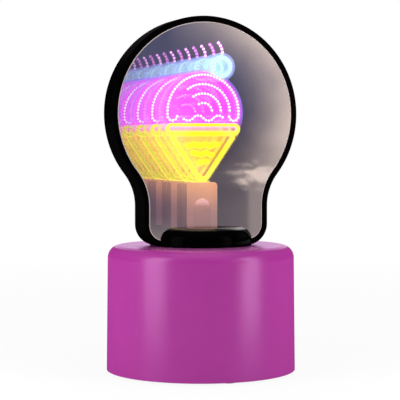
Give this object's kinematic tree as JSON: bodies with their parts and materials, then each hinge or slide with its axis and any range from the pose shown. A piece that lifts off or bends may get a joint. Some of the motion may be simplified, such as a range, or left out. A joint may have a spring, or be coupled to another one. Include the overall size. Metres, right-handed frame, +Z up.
{
  "type": "infinity mirror lamp",
  "caption": "Bulb-shaped infinity mirror lamp with a lit ice cream cone figure between its mirrors, on a round battery base with a slide switch and a USB inlet.",
  "frame": {"origin": "middle of the base at the level of its feet", "axes": "+X to the viewer's right, +Y away from the viewer (the front mirror pane faces -Y), +Z up"},
  "size_m": [0.108, 0.1061, 0.1976],
  "materials": {
    "black_gloss": "high gloss black",
    "black_matt": "matt black",
    "magenta_satin": "satin magenta",
    "mirror_pane": "two-way mirror",
    "mirror_back": "mirror",
    "foam": "matt foam",
    "clear_plastic": "clear, faintly frosted",
    "pink_light": "lit pink",
    "white_light": "lit cool white",
    "yellow_light": "lit yellow",
    "steel": "zinc plated",
    "copper": "bright contact strip",
    "cell_sleeve": "plain grey sleeve",
    "board_green": "solder mask",
    "chip_black": "moulded",
    "connector_white": "natural nylon",
    "rubber_black": "soft matt",
    "wire_red": "insulation"
  },
  "bodies": {
    "lamp": {"head_shell": "black_gloss", "front_bezel": "black_gloss", "front_mirror_pane": "mirror_pane", "pane_gasket": "foam", "back_mirror": "mirror_back", "mirror_foam": "foam", "chamber_liner": "black_matt", "head_screws": "steel", "light_stem": "clear_plastic", "stem_cover": "clear_plastic", "figure_plate": "clear_plastic", "scoop_outline": "pink_light", "scoop_wave": "pink_light", "scoop_swirls": "pink_light", "cone_rim": "yellow_light", "cone_outline": "yellow_light", "cone_waffle": "yellow_light", "cherry_ring": "white_light", "cherry_stalk": "pink_light", "collar_front": "black_gloss", "collar_back": "black_gloss", "collar_screws": "steel", "neck_strap": "steel", "strap_screws": "steel", "base_shell": "magenta_satin", "base_plate": "black_matt", "battery_bay": "black_matt", "battery_cell_1": "cell_sleeve", "battery_cell_2": "cell_sleeve", "battery_cell_3": "cell_sleeve", "contact_plates": "copper", "contact_leaves": "copper", "rubber_foot_right": "rubber_black", "rubber_foot_left": "rubber_black", "rubber_foot_front": "rubber_black", "rubber_foot_back": "rubber_black", "base_screws": "steel", "control_board": "board_green", "board_screws": "steel", "driver_chip": "chip_black", "capacitor": "chip_black", "led_connector": "connector_white", "battery_connector": "connector_white", "usb_socket": "steel", "switch_case": "chip_black", "head_cable": "rubber_black", "battery_leads": "wire_red"},
    "battery_door": {"battery_door": "black_matt"},
    "switch_knob": {"switch_knob": "black_matt"}
  },
  "joints": [
    {"name": "battery_door_hinge", "type": "hinge", "parent": "lamp", "child": "battery_door", "pos_m": [0, -0.0292, 0.0025], "axis": [-1, 0, 0], "range_deg": [0, 90]},
    {"name": "switch_slide", "type": "slide", "parent": "lamp", "child": "switch_knob", "axis": [1, 0, 0], "range_m": [0, 0.002]}
  ]
}
